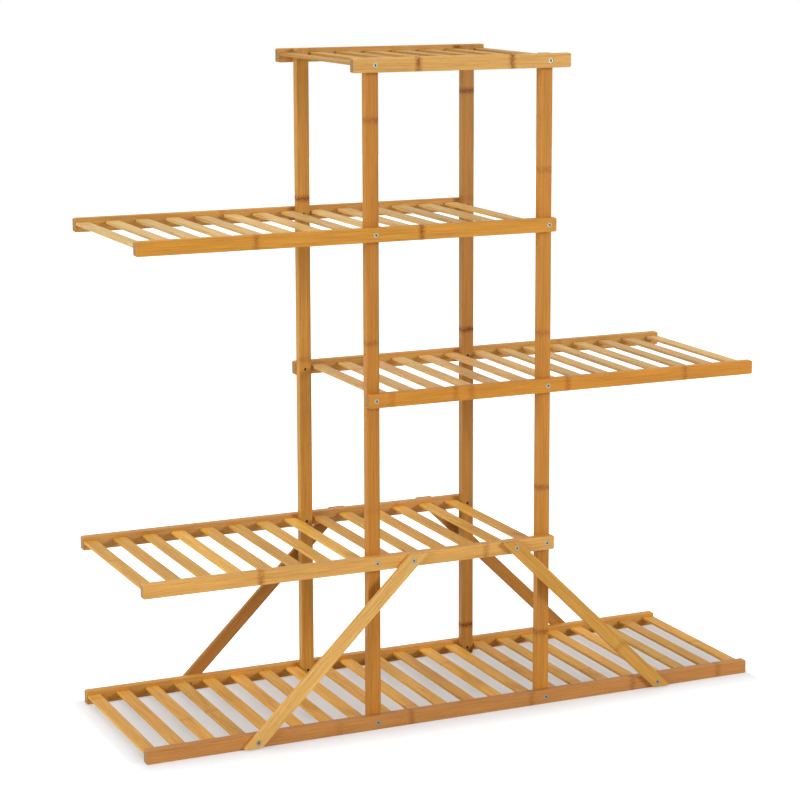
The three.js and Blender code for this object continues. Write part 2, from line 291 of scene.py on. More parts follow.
def bamboo_ground(tree, grain, axes, tone, strips, seed):
    """The wood between the nodes: drifts of tone, glued strips, fibres and short dark dashes."""
    drifts = streaks(tree, grain, TONE_LENGTH, TONE_WIDTH, seed, detail=2.0)
    drift = add_node(
        tree,
        "ShaderNodeMapRange",
        {"Value": (drifts, "Fac"), **NOISE_SPAN, "To Min": 0.84, "To Max": 1.14},
    )
    strip = add_node(tree, "ShaderNodeMath", {0: (axes, "Z"), 1: STRIP_WIDTH}, operation="SNAP")
    any_level = add_node(
        tree, "ShaderNodeTexWhiteNoise", {"W": (strip, "Value")}, noise_dimensions="1D"
    )
    level = add_node(
        tree,
        "ShaderNodeMapRange",
        {"Value": (any_level, "Value"), "To Min": 1.0 - strips, "To Max": 1.0 + 0.6 * strips},
    )
    both = add_node(
        tree, "ShaderNodeMath", {0: (drift, "Result"), 1: (level, "Result")}, operation="MULTIPLY"
    )
    ground = add_node(
        tree, "ShaderNodeMix", {FACTOR: 1.0, FIRST: rgba(tone), SECOND: (both, "Value")}, **MULTIPLIED
    )

    fibres = streaks(
        tree, grain, FIBRE_LENGTH, FIBRE_WIDTH, seed + FIBRE_STEP, detail=4.0, roughness=0.6
    )
    dark = add_node(
        tree,
        "ShaderNodeMix",
        {FACTOR: 0.4, FIRST: (ground, MIXED), SECOND: rgba(colours().fibre)},
        data_type="RGBA",
    )
    light = add_node(
        tree,
        "ShaderNodeMix",
        {FACTOR: 0.6, FIRST: (ground, MIXED), SECOND: rgba([min(1.0, 1.24 * c) for c in tone])},
        data_type="RGBA",
    )
    lightness = add_node(
        tree, "ShaderNodeMapRange", {"Value": (fibres, "Fac"), "From Min": 0.32, "From Max": 0.68}
    )
    streaked = add_node(
        tree,
        "ShaderNodeMix",
        {FACTOR: (lightness, "Result"), FIRST: (dark, MIXED), SECOND: (light, MIXED)},
        data_type="RGBA",
    )

    dashes = streaks(tree, grain, DASH_LENGTH, DASH_WIDTH, seed + DASH_STEP, detail=2.0)
    dash = add_node(
        tree,
        "ShaderNodeMapRange",
        {"Value": (dashes, "Fac"), "From Min": 0.64, "From Max": 0.76, "To Max": 0.6},
    )
    dashed = add_node(
        tree,
        "ShaderNodeMix",
        {FACTOR: (dash, "Result"), FIRST: (streaked, MIXED), SECOND: rgba(colours().fibre)},
        data_type="RGBA",
    )
    return dashed, fibres


def culm_nodes(tree, grain, axes, ground, places, seed):
    """The ground with a mottled stain and a thin dark scar across the bar at each node.

    A place is in millimetres along the bar, or (node, output) where each slat has its own.
    """
    ragged = streaks(tree, grain, SWAY_LENGTH, SWAY_WIDTH, seed + SWAY_STEP)
    sway = add_node(
        tree, "ShaderNodeMath", {0: (ragged, "Fac"), 1: SWAY, 2: -SWAY / 2}, operation="MULTIPLY_ADD"
    )
    along = add_node(tree, "ShaderNodeMath", {0: (axes, "X"), 1: (sway, "Value")}, operation="ADD")
    mottle = streaks(tree, grain, MOTTLE_LENGTH, MOTTLE_WIDTH, seed + MOTTLE_STEP, roughness=0.65)
    colour = ground
    for place, strength in places:
        offset = add_node(
            tree, "ShaderNodeMath", {0: (along, "Value"), 1: place}, operation="SUBTRACT"
        )
        apart = add_node(tree, "ShaderNodeMath", {0: (offset, "Value")}, operation="ABSOLUTE")
        marks = (
            (STAIN_HALF, STAIN_FADE, strength, 0.2, colours().node_stain),
            (SCAR_HALF, SCAR_FADE, strength**2, 0.25, colours().node_scar),
        )
        for half, fade, depth, least, tint in marks:
            near = add_node(
                tree,
                "ShaderNodeMapRange",
                {
                    "Value": (apart, "Value"),
                    "From Min": half,
                    "From Max": half + fade,
                    "To Min": depth,
                    "To Max": 0.0,
                },
            )
            spots = add_node(
                tree,
                "ShaderNodeMapRange",
                {"Value": (mottle, "Fac"), "From Min": 0.36, "From Max": 0.58, "To Min": least},
            )
            mark = add_node(
                tree,
                "ShaderNodeMath",
                {0: (near, "Result"), 1: (spots, "Result")},
                operation="MULTIPLY",
            )
            colour = add_node(
                tree,
                "ShaderNodeMix",
                {FACTOR: (mark, "Value"), FIRST: (colour, MIXED), SECOND: rgba(tint)},
                **MULTIPLIED,
            )
    return colour


def facing(tree, coordinates, direction):
    """How squarely a face looks along a direction, one way or the other, from 0 to 1."""
    along = add_node(
        tree, "ShaderNodeVectorMath", {0: (coordinates, "Normal"), 1: direction}, operation="DOT_PRODUCT"
    )
    return add_node(tree, "ShaderNodeMath", {0: (along, "Value")}, operation="ABSOLUTE")


def edge_grain(tree, coordinates, colour, side):
    """The colour with paler faces towards side, where the strips' edges show instead of their flats."""
    either = facing(tree, coordinates, side)
    return add_node(
        tree,
        "ShaderNodeMix",
        {FACTOR: (either, "Value"), FIRST: (colour, MIXED), SECOND: rgba(EDGE_GRAIN)},
        **MULTIPLIED,
    )


def sawn_ends(tree, coordinates, grain, colour, turn):
    """The colour with grey-brown sawn ends, dotted by the cut bundles, where the grain stops."""
    unturn = Matrix.Rotation(-turn[2], 3, "Z") @ Matrix.Rotation(-turn[1], 3, "Y")
    either = facing(tree, coordinates, unturn @ Vector((1, 0, 0)))
    end = add_node(
        tree,
        "ShaderNodeMapRange",
        {"Value": (either, "Value"), "From Min": 0.86, "From Max": 0.95, "To Max": 0.9},
    )
    pores = add_node(
        tree, "ShaderNodeTexNoise", {"Vector": (grain, "Vector"), "Scale": 1 / PORE, "Detail": 2.0}
    )
    level = add_node(
        tree,
        "ShaderNodeMapRange",
        {"Value": (pores, "Fac"), "From Min": 0.4, "From Max": 0.6, "To Min": 0.66, "To Max": 1.04},
    )
    dotted = add_node(
        tree,
        "ShaderNodeMix",
        {FACTOR: 1.0, FIRST: rgba(colours().end_grain), SECOND: (level, "Result")},
        **MULTIPLIED,
    )
    return add_node(
        tree,
        "ShaderNodeMix",
        {FACTOR: (end, "Result"), FIRST: (colour, MIXED), SECOND: (dotted, MIXED)},
        data_type="RGBA",
    )


# The varnish is thin and satin, so it takes little of the lamps' shine
VARNISH = {"IOR": 1.5, "Specular IOR Level": 0.2, "Coat Weight": 0.04, "Coat Roughness": 0.3}
STAND_PROUD = 0.15 * MM  # how far the fibres' relief reaches


def bamboo(name, look, turn, seed, strips=RAIL_STRIPS, side=(0.0, 0.0, 0.0), slats=False):
    """Laminated bamboo strip, heat browned, planed and sanded, under a thin satin varnish.

    That gives the eye a honey ground with fine straight fibres, strips of slightly different
    tone, mottled brown marks where the culm's nodes were, and a soft sheen along the grain.
    The faces towards side are paler. Slats read their tint and their node's place from attributes.
    """
    material, tree, shader = new_material(name)
    coordinates = add_node(tree, "ShaderNodeTexCoord")
    shift = (0.0, 0.0, 0.0) if slats else (0.0, 31.7 * seed, 17.3 * seed)
    grain = add_node(
        tree,
        "ShaderNodeMapping",
        {
            "Vector": (coordinates, "Object"),
            "Scale": (PER_MM,) * 3,
            "Rotation": turn,
            "Location": shift,
        },
    )
    axes = add_node(tree, "ShaderNodeSeparateXYZ", {"Vector": (grain, "Vector")})
    colour, fibres = bamboo_ground(tree, grain, axes, linear(look["tone"]), strips, seed)
    if slats:
        node_at = add_node(tree, "ShaderNodeAttribute", attribute_name="node_at")
        places = [((node_at, "Fac"), SLAT_NODE_STRENGTH)]
    else:
        places = look["nodes"].items()
    colour = culm_nodes(tree, grain, axes, colour, places, seed)
    if slats:
        tint = add_node(tree, "ShaderNodeAttribute", attribute_name="tint")
        colour = add_node(
            tree,
            "ShaderNodeMix",
            {FACTOR: 1.0, FIRST: (colour, MIXED), SECOND: (tint, "Color")},
            **MULTIPLIED,
        )
    colour = edge_grain(tree, coordinates, colour, side)
    colour = sawn_ends(tree, coordinates, grain, colour, turn)
    tree.links.new(colour.outputs[MIXED], shader.inputs["Base Color"])

    # Varnish: satin, a little rougher over the dark bundles, which stand a hair proud
    rough = add_node(
        tree,
        "ShaderNodeMapRange",
        {"Value": (fibres, "Fac"), **NOISE_SPAN, "To Min": 0.55, "To Max": 0.45},
    )
    bump = add_node(
        tree, "ShaderNodeBump", {"Height": (fibres, "Fac"), "Strength": 0.25, "Distance": STAND_PROUD}
    )
    tree.links.new(rough.outputs["Result"], shader.inputs["Roughness"])
    tree.links.new(bump.outputs["Normal"], shader.inputs["Normal"])
    for socket, value in VARNISH.items():
        shader.inputs[socket].default_value = value
    return material


def zinc_plated_steel():
    """Turned steel screws, zinc plated: a dull warm grey mirror, blurred by fine turning marks."""
    material, tree, shader = new_material("zinc_plated_steel")
    coordinates = add_node(tree, "ShaderNodeTexCoord")
    marks = add_node(
        tree,
        "ShaderNodeTexNoise",
        {"Vector": (coordinates, "Object"), "Scale": 2.0 * PER_MM, "Detail": 2.0},  # 0.5 mm blotches
    )
    level = add_node(
        tree,
        "ShaderNodeMapRange",
        {"Value": (marks, "Fac"), **NOISE_SPAN, "To Min": 0.84, "To Max": 1.0},
    )
    plate = add_node(
        tree,
        "ShaderNodeMix",
        {FACTOR: 1.0, FIRST: rgba(colours().steel), SECOND: (level, "Result")},
        **MULTIPLIED,
    )
    # Painted shade: the 'shaded' attribute blends the plate towards the shade colour in the sockets and at
    # the shaded tips.
    shaded = add_node(tree, "ShaderNodeAttribute", attribute_name="shaded")
    colour = add_node(
        tree,
        "ShaderNodeMix",
        {FACTOR: (shaded, "Fac"), FIRST: (plate, MIXED), SECOND: rgba(colours().shade)},
        data_type="RGBA",
    )
    rough = add_node(
        tree,
        "ShaderNodeMapRange",
        {"Value": (marks, "Fac"), **NOISE_SPAN, "To Min": 0.3, "To Max": 0.42},
    )
    tree.links.new(colour.outputs[MIXED], shader.inputs["Base Color"])
    tree.links.new(rough.outputs["Result"], shader.inputs["Roughness"])
    shader.inputs["Metallic"].default_value = 1.0
    return material


# ---- Meshes --------------------------------------------------------------------------------


SHARP_FROM = math.radians(40)  # corners steeper than this stay sharp
FLAT_WEIGHT = 80  # how much the large flat faces rule the shading, out of 100
ARC_STEPS = 5  # faces round a corner of a bar's outline


def rounded_outline(corners, radius):
    """A polygon's corners replaced by arcs that touch both sides."""
    points = []
    count = len(corners)
    for i, corner in enumerate(corners):
        before = (corners[i - 1] - corner).normalized()
        after = (corners[(i + 1) % count] - corner).normalized()
        half_angle = before.angle(after) / 2
        centre = corner + (before + after).normalized() * (radius / math.sin(half_angle))
        start = corner + before * (radius / math.tan(half_angle)) - centre
        finish = corner + after * (radius / math.tan(half_angle)) - centre
        sweep = start.angle_signed(finish)
        for step in range(ARC_STEPS + 1):
            turn = Matrix.Rotation(-sweep * step / ARC_STEPS, 2)
            points.append(centre + turn @ start)
    return points


def board(name, corners, radius, low_y, high_y):
    """A bar whose outline stands in the XZ plane, with its long edges rounded."""
    mesh = bmesh.new()
    outline = [mesh.verts.new((p.x, low_y, p.y)) for p in rounded_outline(corners, radius)]
    face = mesh.faces.new(outline)
    grown = bmesh.ops.extrude_face_region(mesh, geom=[face])["geom"]
    moved = [v for v in grown if isinstance(v, bmesh.types.BMVert)]
    bmesh.ops.translate(mesh, verts=moved, vec=(0, high_y - low_y, 0))
    rims = [e for e in mesh.edges if abs(e.verts[0].co.y - e.verts[1].co.y) < 1e-7]
    bmesh.ops.bevel(
        mesh,
        geom=rims,
        offset=sizes().edge_round,
        segments=sizes().bevel_steps,
        profile=0.5,
        affect="EDGES",
        clamp_overlap=True,
    )
    bmesh.ops.recalc_face_normals(mesh, faces=mesh.faces)
    return mesh_object(name, mesh)


def mesh_object(name, mesh):
    data = bpy.data.meshes.new(name)
    mesh.to_mesh(data)
    mesh.free()
    obj = bpy.data.objects.new(name, data)
    bpy.context.scene.collection.objects.link(obj)
    return obj


def cutter(name, boxes, holes):
    """One mesh of all the shapes that are cut from a bar: pockets and screw holes."""
    mesh = bmesh.new()
    for low, high in boxes:
        middle = (low + high) / 2
        size = high - low
        place = Matrix.Translation(middle) @ Matrix.Diagonal((*size, 1.0))
        bmesh.ops.create_cube(mesh, size=1.0, matrix=place)
    for start, inward, length in holes:
        turned(mesh, hole_profile(length), Matrix.Translation(start) @ facing_turn(inward))
    bmesh.ops.recalc_face_normals(mesh, faces=mesh.faces)
    return mesh_object(name, mesh)


def facing_turn(inward):
    """Turns a shape made along +Z, its depth, to point along Y in the given sense."""
    return Matrix.Rotation(-inward * math.pi / 2, 4, "X")


def ring_radius(radius, angle, hexagonal):
    """The distance from the axis at an angle, on a circle or on a hexagon of that half width."""
    if not hexagonal:
        return radius
    sixth = math.pi / 3
    return radius / math.cos((angle + sixth / 2) % sixth - sixth / 2)


FACETS = 24  # round a screw or its hole; a multiple of 6, so that a hexagon's corners are met


def turned(mesh, profile, place):
    """A closed body round Z from (radius, height, hexagonal) rings. Radius 0 is a point on the axis."""
    rings = []
    for radius, height, hexagonal in profile:
        ring = []
        for step in range(FACETS if radius else 1):
            angle = 2 * math.pi * step / FACETS
            reach = ring_radius(radius, angle, hexagonal)
            corner = Vector((reach * math.cos(angle), reach * math.sin(angle), height))
            ring.append(mesh.verts.new(place @ corner))
        rings.append(ring)
    for first, second in zip(rings, rings[1:]):
        for step in range(FACETS):
            after = (step + 1) % FACETS
            corners = [first[step % len(first)], first[after % len(first)]]
            corners += [second[after % len(second)], second[step % len(second)]]
            mesh.faces.new(dict.fromkeys(corners))


def hole_profile(length):
    s = sizes()
    head = s.head_radius + s.play
    shank = s.shank_radius + s.play
    cone_start = s.head_recess + s.head_rim
    cone_end = cone_start + s.head_radius - s.shank_radius
    steps = [(0, -MM), (head, -MM), (head, cone_start), (shank, cone_end), (shank, length), (0, length)]
    return [(radius, height, False) for radius, height in steps]


def discard(obj):
    """Deletes a helper object and its mesh."""
    data = obj.data
    bpy.data.objects.remove(obj)
    bpy.data.meshes.remove(data)


def cut(obj, tool):
    """Cuts the tool from the object and deletes the tool."""
    modifier = obj.modifiers.new("holes", "BOOLEAN")
    modifier.operation = "DIFFERENCE"
    modifier.solver = "EXACT"
    modifier.object = tool
    finish_mesh(obj)
    discard(tool)


def finish_mesh(obj):
    """Turns an object's modifiers into plain mesh."""
    graph = bpy.context.evaluated_depsgraph_get()
    made = bpy.data.meshes.new_from_object(
        obj.evaluated_get(graph), preserve_all_data_layers=True, depsgraph=graph
    )
    old = obj.data
    obj.modifiers.clear()
    obj.data = made
    bpy.data.meshes.remove(old)
    made.name = obj.name


def smooth(obj):
    """Smooth round edges and flat faces: sharp at steep corners, normals weighted by face size."""
    obj.data.shade_smooth()
    obj.data.set_sharp_from_angle(angle=SHARP_FROM)
    weighted = obj.modifiers.new("normals", "WEIGHTED_NORMAL")
    weighted.keep_sharp = True
    weighted.weight = FLAT_WEIGHT
    finish_mesh(obj)


def place_piece(obj, material, slot, *nodes):
    """Gives a finished piece its material and its place in the frame."""
    obj.data.materials.clear()
    obj.data.materials.append(material)
    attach(obj, "root")
    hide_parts(*nodes)


# ---- Places worked out from the frame ------------------------------------------------------


def outward(side):
    return -1 if side == "front" else 1


def rail_box(shelf, side):
    """A rail's lowest and highest corner. The rear rail mirrors the front one."""
    low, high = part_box(f"shelf_{shelf}_front_rail")
    if side == "rear":
        return Vector((low.x, -high.y, low.z)), Vector((high.x, -low.y, high.z))
    return low, high


def slat_places(shelf):
    """X of the slats: every half step of the pitch whose slat fits between the rail's ends."""
    low, high = rail_box(shelf, "front")
    pitch = sizes().slat_pitch
    half = sizes().slat_width / 2
    steps = range(math.floor(low.x / pitch), math.ceil(high.x / pitch) + 1)
    middles = [(step + 0.5) * pitch for step in steps]
    return [x for x in middles if low.x < x - half and x + half < high.x]


def middle_of(node):
    low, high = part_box(node)
    return (low + high) / 2


def screw_nodes():
    """Name and side of each screw in the frame."""
    found = []
    for side in SIDES:
        for end in ENDS:
            found += [(f"shelf_{shelf}_screw_{side}_{end}", side) for shelf in SHELVES]
            found += [(f"brace_{side}_{end}_screw_{place}", side) for place in ("foot", "top")]
    return found


def screw_start(node, side):
    """The point on the face of the wood where a screw goes in."""
    low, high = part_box(node)
    head_y = low.y if side == "front" else high.y
    face_y = head_y + outward(side) * sizes().head_recess
    return Vector(((low.x + high.x) / 2, face_y, (low.z + high.z) / 2))


HOLE_LENGTH = 1.2  # against its screw's; the bar ends before that, so the hole goes right through


def holes_in(low, high, side):
    """The screw holes through a bar that fills the box from low to high."""
    holes = []
    for node, screw_side in screw_nodes():
        if screw_side != side:
            continue
        screw_low, screw_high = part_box(node)
        start = screw_start(node, side)
        in_reach = low.x < start.x < high.x and low.z < start.z < high.z
        if not in_reach or screw_high.y < low.y or screw_low.y > high.y:
            continue
        holes.append((start, -outward(side), HOLE_LENGTH * (screw_high.y - screw_low.y)))
    return holes


def rectangle(low, high):
    return [Vector(p) for p in ((low.x, low.z), (high.x, low.z), (high.x, high.z), (low.x, high.z))]


def pockets(shelf, side):
    """The pockets for the slats' ends in one rail, a hair larger than the slats."""
    s = sizes()
    low, high = rail_box(shelf, side)
    inner = high.y if side == "front" else low.y
    y_range = sorted((inner + outward(side) * s.pocket_depth, inner - outward(side) * MM))
    top = high.z - s.slat_drop + s.play
    bottom = high.z - s.slat_drop - s.slat_thickness - s.play
    half = s.slat_width / 2 + s.play
    return [
        (Vector((x - half, y_range[0], bottom)), Vector((x + half, y_range[1], top)))
        for x in slat_places(shelf)
    ]


# ---- Pieces --------------------------------------------------------------------------------


def bar(name, corners, radius, box, side, slat_pockets=()):
    """A finished bar in its box, with the screw holes of its side and any pockets cut."""
    low, high = box
    obj = board(name, corners, radius, low.y, high.y)
    cut(obj, cutter(f"{name}_cuts", slat_pockets, holes_in(low, high, side)))
    smooth(obj)
    return obj


class PLANTSTAND_OT_rails(bpy.types.Operator):
    """Builds the front and rear rails of every shelf, with their pockets and screw holes."""

    bl_idname = "plant_stand.rails"
    bl_label = "Build Rails"

    def execute(self, context):
        for seed, (name, look) in enumerate(RAILS.items(), RAIL_PATTERN):
            shelf = int(name.split("_")[1])
            side = name.split("_")[2]
            box = rail_box(shelf, side)
            rail = bar(
                f"{side}_rail_{shelf}",
                rectangle(*box),
                sizes().end_round,
                box,
                side,
                pockets(shelf, side),
            )
            kind = "rail" if side == "front" else "rail_and_slats"
            material = bamboo(f"bamboo_{name}_rail", look, GRAIN_X, seed)
            place_piece(rail, material, "rail_bamboo", f"shelf_{shelf}_{side}_{kind}")
        return {"FINISHED"}


class PLANTSTAND_OT_posts(bpy.types.Operator):
    """Builds the four posts, with their screw holes."""

    bl_idname = "plant_stand.posts"
    bl_label = "Build Posts"

    def execute(self, context):
        for seed, (name, look) in enumerate(POSTS.items(), POST_PATTERN):
            side = name.split("_")[0]
            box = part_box(f"post_{name}")
            post = bar(f"{name}_post", rectangle(*box), sizes().end_round, box, side)
            material = bamboo(f"bamboo_{name}_post", look, GRAIN_Z, seed, POST_STRIPS, POST_EDGES)
            place_piece(post, material, "post_bamboo", f"post_{name}")
        return {"FINISHED"}


def brace_outline(low, high, foot, top):
    """A brace's four corners: a strip through its two screws, cut level at its foot and top."""
    post_low, post_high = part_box("post_front_left")
    width = post_high.x - post_low.x  # the braces are cut from the same strip as the posts
    slope = (top.x - foot.x) / (top.z - foot.z)
    half_end = width / 2 * math.hypot(1.0, slope)
    low_x = foot.x + slope * (low.z - foot.z)
    high_x = foot.x + slope * (high.z - foot.z)
    return [
        Vector((low_x - half_end, low.z)),
        Vector((low_x + half_end, low.z)),
        Vector((high_x + half_end, high.z)),
        Vector((high_x - half_end, high.z)),
    ]


class PLANTSTAND_OT_braces(bpy.types.Operator):
    """Builds the four diagonal braces between the second shelf and the lowest one."""

    bl_idname = "plant_stand.braces"
    bl_label = "Build Braces"

    def execute(self, context):
        for seed, (name, look) in enumerate(BRACES.items(), BRACE_PATTERN):
            side = name.split("_")[0]
            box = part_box(f"brace_{name}")
            foot = middle_of(f"brace_{name}_screw_foot")
            top = middle_of(f"brace_{name}_screw_top")
            corners = brace_outline(*box, foot, top)
            brace = bar(f"{name}_brace", corners, sizes().brace_end_round, box, side)
            lean = math.atan2(top.z - foot.z, top.x - foot.x)
            material = bamboo(f"bamboo_{name}_brace", look, (0.0, lean, 0.0), seed)
            place_piece(brace, material, "brace_bamboo", f"brace_{name}")
        return {"FINISHED"}


def new_tree(name, inputs):
    """A Geometry Nodes tree with named inputs, given as name and socket type."""
    tree = bpy.data.node_groups.new(name, "GeometryNodeTree")
    tree.interface.new_socket("Geometry", in_out="INPUT", socket_type="NodeSocketGeometry")
    for label, kind in inputs.items():
        tree.interface.new_socket(label, in_out="INPUT", socket_type=kind)
    tree.interface.new_socket("Geometry", in_out="OUTPUT", socket_type="NodeSocketGeometry")
    return tree


def add_ending(tree, given, geometry):
    """Ends a tree: its instances made real, with the given material."""
    real = add_node(tree, "GeometryNodeRealizeInstances", {"Geometry": geometry})
    painted = add_node(
        tree,
        "GeometryNodeSetMaterial",
        {"Geometry": (real, "Geometry"), "Material": (given, "Material")},
    )
    add_node(tree, "NodeGroupOutput", {"Geometry": (painted, "Geometry")})


def run_tree(name, start, tree, values):
    """Runs a tree on a mesh with its inputs set, and returns the result as a plain mesh object."""
    obj = bpy.data.objects.new(name, start)
    modifier = obj.modifiers.new(tree.name, "NODES")
    modifier.node_group = tree
    for item in tree.interface.items_tree:
        if item.in_out == "INPUT" and item.name in values:
            modifier[item.identifier] = values[item.name]
    bpy.context.scene.collection.objects.link(obj)
    finish_mesh(obj)
    return obj


# Sockets of a Random Value node that gives a number
LOW, HIGH, NUMBER = 2, 3, 1

SLAT_LIGHTNESS = (0.84, 1.16)  # how far one slat's lightness may differ from the row's tone
SLAT_WARMTH = (0.95, 1.05)  # green against red, and blue against green; low is reddish
SLAT_NODE_REACH = 500.0  # mm; a slat is shorter, so most have no node
SLAT_ROUND_STEPS = 3  # faces round each long edge of a slat
SEED_STEP = 100.0  # between the seeds of a slat's three draws


def slat_row_tree():
    """A row of slats along X: each a flat bar with rounded long edges and a tint of its own."""
    tree = new_tree(
        "slat_row",
        {
            "Count": "NodeSocketInt",
            "First": "NodeSocketVector",
            "Pitch": "NodeSocketFloat",
            "Length": "NodeSocketFloat",
            "Width": "NodeSocketFloat",
            "Thickness": "NodeSocketFloat",
            "Round": "NodeSocketFloat",
            "Seed": "NodeSocketInt",
            "Material": "NodeSocketMaterial",
        },
    )
    given = add_node(tree, "NodeGroupInput")

    half = add_node(tree, "ShaderNodeMath", {0: (given, "Length"), 1: 0.5}, operation="MULTIPLY")
    back = add_node(tree, "ShaderNodeMath", {0: (half, "Value"), 1: -1.0}, operation="MULTIPLY")
    start = add_node(tree, "ShaderNodeCombineXYZ", {"Y": (back, "Value")})
    end = add_node(tree, "ShaderNodeCombineXYZ", {"Y": (half, "Value")})
    line = add_node(
        tree, "GeometryNodeCurvePrimitiveLine", {"Start": (start, "Vector"), "End": (end, "Vector")}
    )
    outline = add_node(
        tree,
        "GeometryNodeCurvePrimitiveQuadrilateral",
        {"Width": (given, "Width"), "Height": (given, "Thickness")},
        mode="RECTANGLE",
    )
    rounded = add_node(
        tree,
        "GeometryNodeFilletCurve",
        {
            "Curve": (outline, "Curve"),
            "Radius": (given, "Round"),
            "Count": SLAT_ROUND_STEPS,
            "Limit Radius": True,
        },
        mode="POLY",
    )
    slat = add_node(
        tree,
        "GeometryNodeCurveToMesh",
        {"Curve": (line, "Curve"), "Profile Curve": (rounded, "Curve"), "Fill Caps": True},
    )

    step = add_node(tree, "ShaderNodeCombineXYZ", {"X": (given, "Pitch")})
    places = add_node(
        tree,
        "GeometryNodeMeshLine",
        {"Count": (given, "Count"), "Start Location": (given, "First"), "Offset": (step, "Vector")},
        mode="OFFSET",
    )
    row = add_node(
        tree, "GeometryNodeInstanceOnPoints", {"Points": (places, "Mesh"), "Instance": (slat, "Mesh")}
    )

    # Each slat's own lightness, warmth and node, drawn with three seeds
    drawn = []
    ranges = (SLAT_LIGHTNESS, SLAT_WARMTH, (-SLAT_NODE_REACH, SLAT_NODE_REACH))
    for shift, (low, high) in enumerate(ranges):
        seed = add_node(
            tree, "ShaderNodeMath", {0: (given, "Seed"), 1: SEED_STEP * shift}, operation="ADD"
        )
        drawn.append(
            add_node(
                tree,
                "FunctionNodeRandomValue",
                {LOW: low, HIGH: high, "Seed": (seed, "Value")},
                data_type="FLOAT",
            )
        )
    lightness, warmth, node_at = drawn
    green = add_node(
        tree, "ShaderNodeMath", {0: (lightness, NUMBER), 1: (warmth, NUMBER)}, operation="MULTIPLY"
    )
    blue = add_node(
        tree, "ShaderNodeMath", {0: (green, "Value"), 1: (warmth, NUMBER)}, operation="MULTIPLY"
    )
    tint = add_node(
        tree,
        "ShaderNodeCombineXYZ",
        {"X": (lightness, NUMBER), "Y": (green, "Value"), "Z": (blue, "Value")},
    )
    geometry = (row, "Instances")
    stored = {"tint": ("FLOAT_VECTOR", (tint, "Vector")), "node_at": ("FLOAT", (node_at, NUMBER))}
    for name, (kind, value) in stored.items():
        store = add_node(
            tree,
            "GeometryNodeStoreNamedAttribute",
            {"Geometry": geometry, "Name": name, "Value": value},
            data_type=kind,
            domain="INSTANCE",
        )
        geometry = (store, "Geometry")
    add_ending(tree, given, geometry)
    return tree


class PLANTSTAND_OT_slats(bpy.types.Operator):
    """Builds the row of slats of every shelf."""

    bl_idname = "plant_stand.slats"
    bl_label = "Build Slats"

    def execute(self, context):
        s = sizes()
        tree = slat_row_tree()
        for shelf in SHELVES:
            low, high = rail_box(shelf, "rear")
            places = slat_places(shelf)
            look = SLATS[shelf]
            material = bamboo(
                f"bamboo_shelf_{shelf}_slats", look, GRAIN_Y, shelf + SLAT_PATTERN, slats=True
            )
            middle_z = high.z - s.slat_drop - s.slat_thickness / 2
            row = run_tree(
                f"slats_{shelf}",
                bpy.data.meshes.new("slats"),
                tree,
                {
                    "Count": len(places),
                    "First": (places[0], 0.0, middle_z),
                    "Pitch": s.slat_pitch,
                    "Length": 2 * (low.y + s.pocket_depth) - MM,
                    "Width": s.slat_width,
                    "Thickness": s.slat_thickness,
                    "Round": s.slat_round,
                    "Seed": look["seed"],
                    "Material": material,
                },
            )
            smooth(row)
            place_piece(row, material, "slat_bamboo", f"shelf_{shelf}_rear_rail_and_slats")
        return {"FINISHED"}


SOCKET_SHADE = 0.55  # painted shade in a socket, against 1 at a screw's tip, deep in its hole
TIP_LENGTH = 1.5 * MM  # of a post's screw's end, painted dark for the shade in its hole
SCREW_SOFT = 0.2 * MM  # the round on the head's and the socket's rims


def screw_shape(length, tip_shaded):
    """One screw along +Z from the face of the wood: countersunk head with a hexagonal socket."""
    s = sizes()
    top = s.head_recess
    soft = SCREW_SOFT
    floor = top + s.socket_depth
    flat = s.socket_width / 2
    cone_start = top + s.head_rim
    cone_end = cone_start + s.head_radius - s.shank_radius
    profile = [
        (0, floor + 2 * soft, False),
        (flat, floor, True),
        (flat, top + soft, True),
        (flat + soft, top, True),
        (s.head_radius - soft, top, False),
        (s.head_radius, top + soft, False),
        (s.head_radius, cone_start, False),
        (s.shank_radius, cone_end, False),
        (s.shank_radius, length - MM, False),
        (s.shank_radius - MM, length, False),
        (0, length, False),
    ]
    mesh = bmesh.new()
    turned(mesh, profile, Matrix.Identity(4))
    bmesh.ops.recalc_face_normals(mesh, faces=mesh.faces)
    # Painted shade: the socket's faces, and the tip where tip_shaded is true, are marked to take the shade
    # colour for the shade in the socket and in the hole.
    shaded = mesh.verts.layers.float.new("shaded")
    socket_reach = flat * 2 / math.sqrt(3) + 0.1 * soft  # just past the hexagon's corners
    for vert in mesh.verts:
        in_socket = math.hypot(*vert.co.xy) < socket_reach and top < vert.co.z <= floor + 2 * soft
        at_tip = tip_shaded and vert.co.z > length - TIP_LENGTH
        vert[shaded] = 1.0 if at_tip else SOCKET_SHADE if in_socket else 0.0
    screw = mesh_object("one_screw", mesh)
    screw.data.shade_smooth()
    screw.data.set_sharp_from_angle(angle=SHARP_FROM)
    return screw


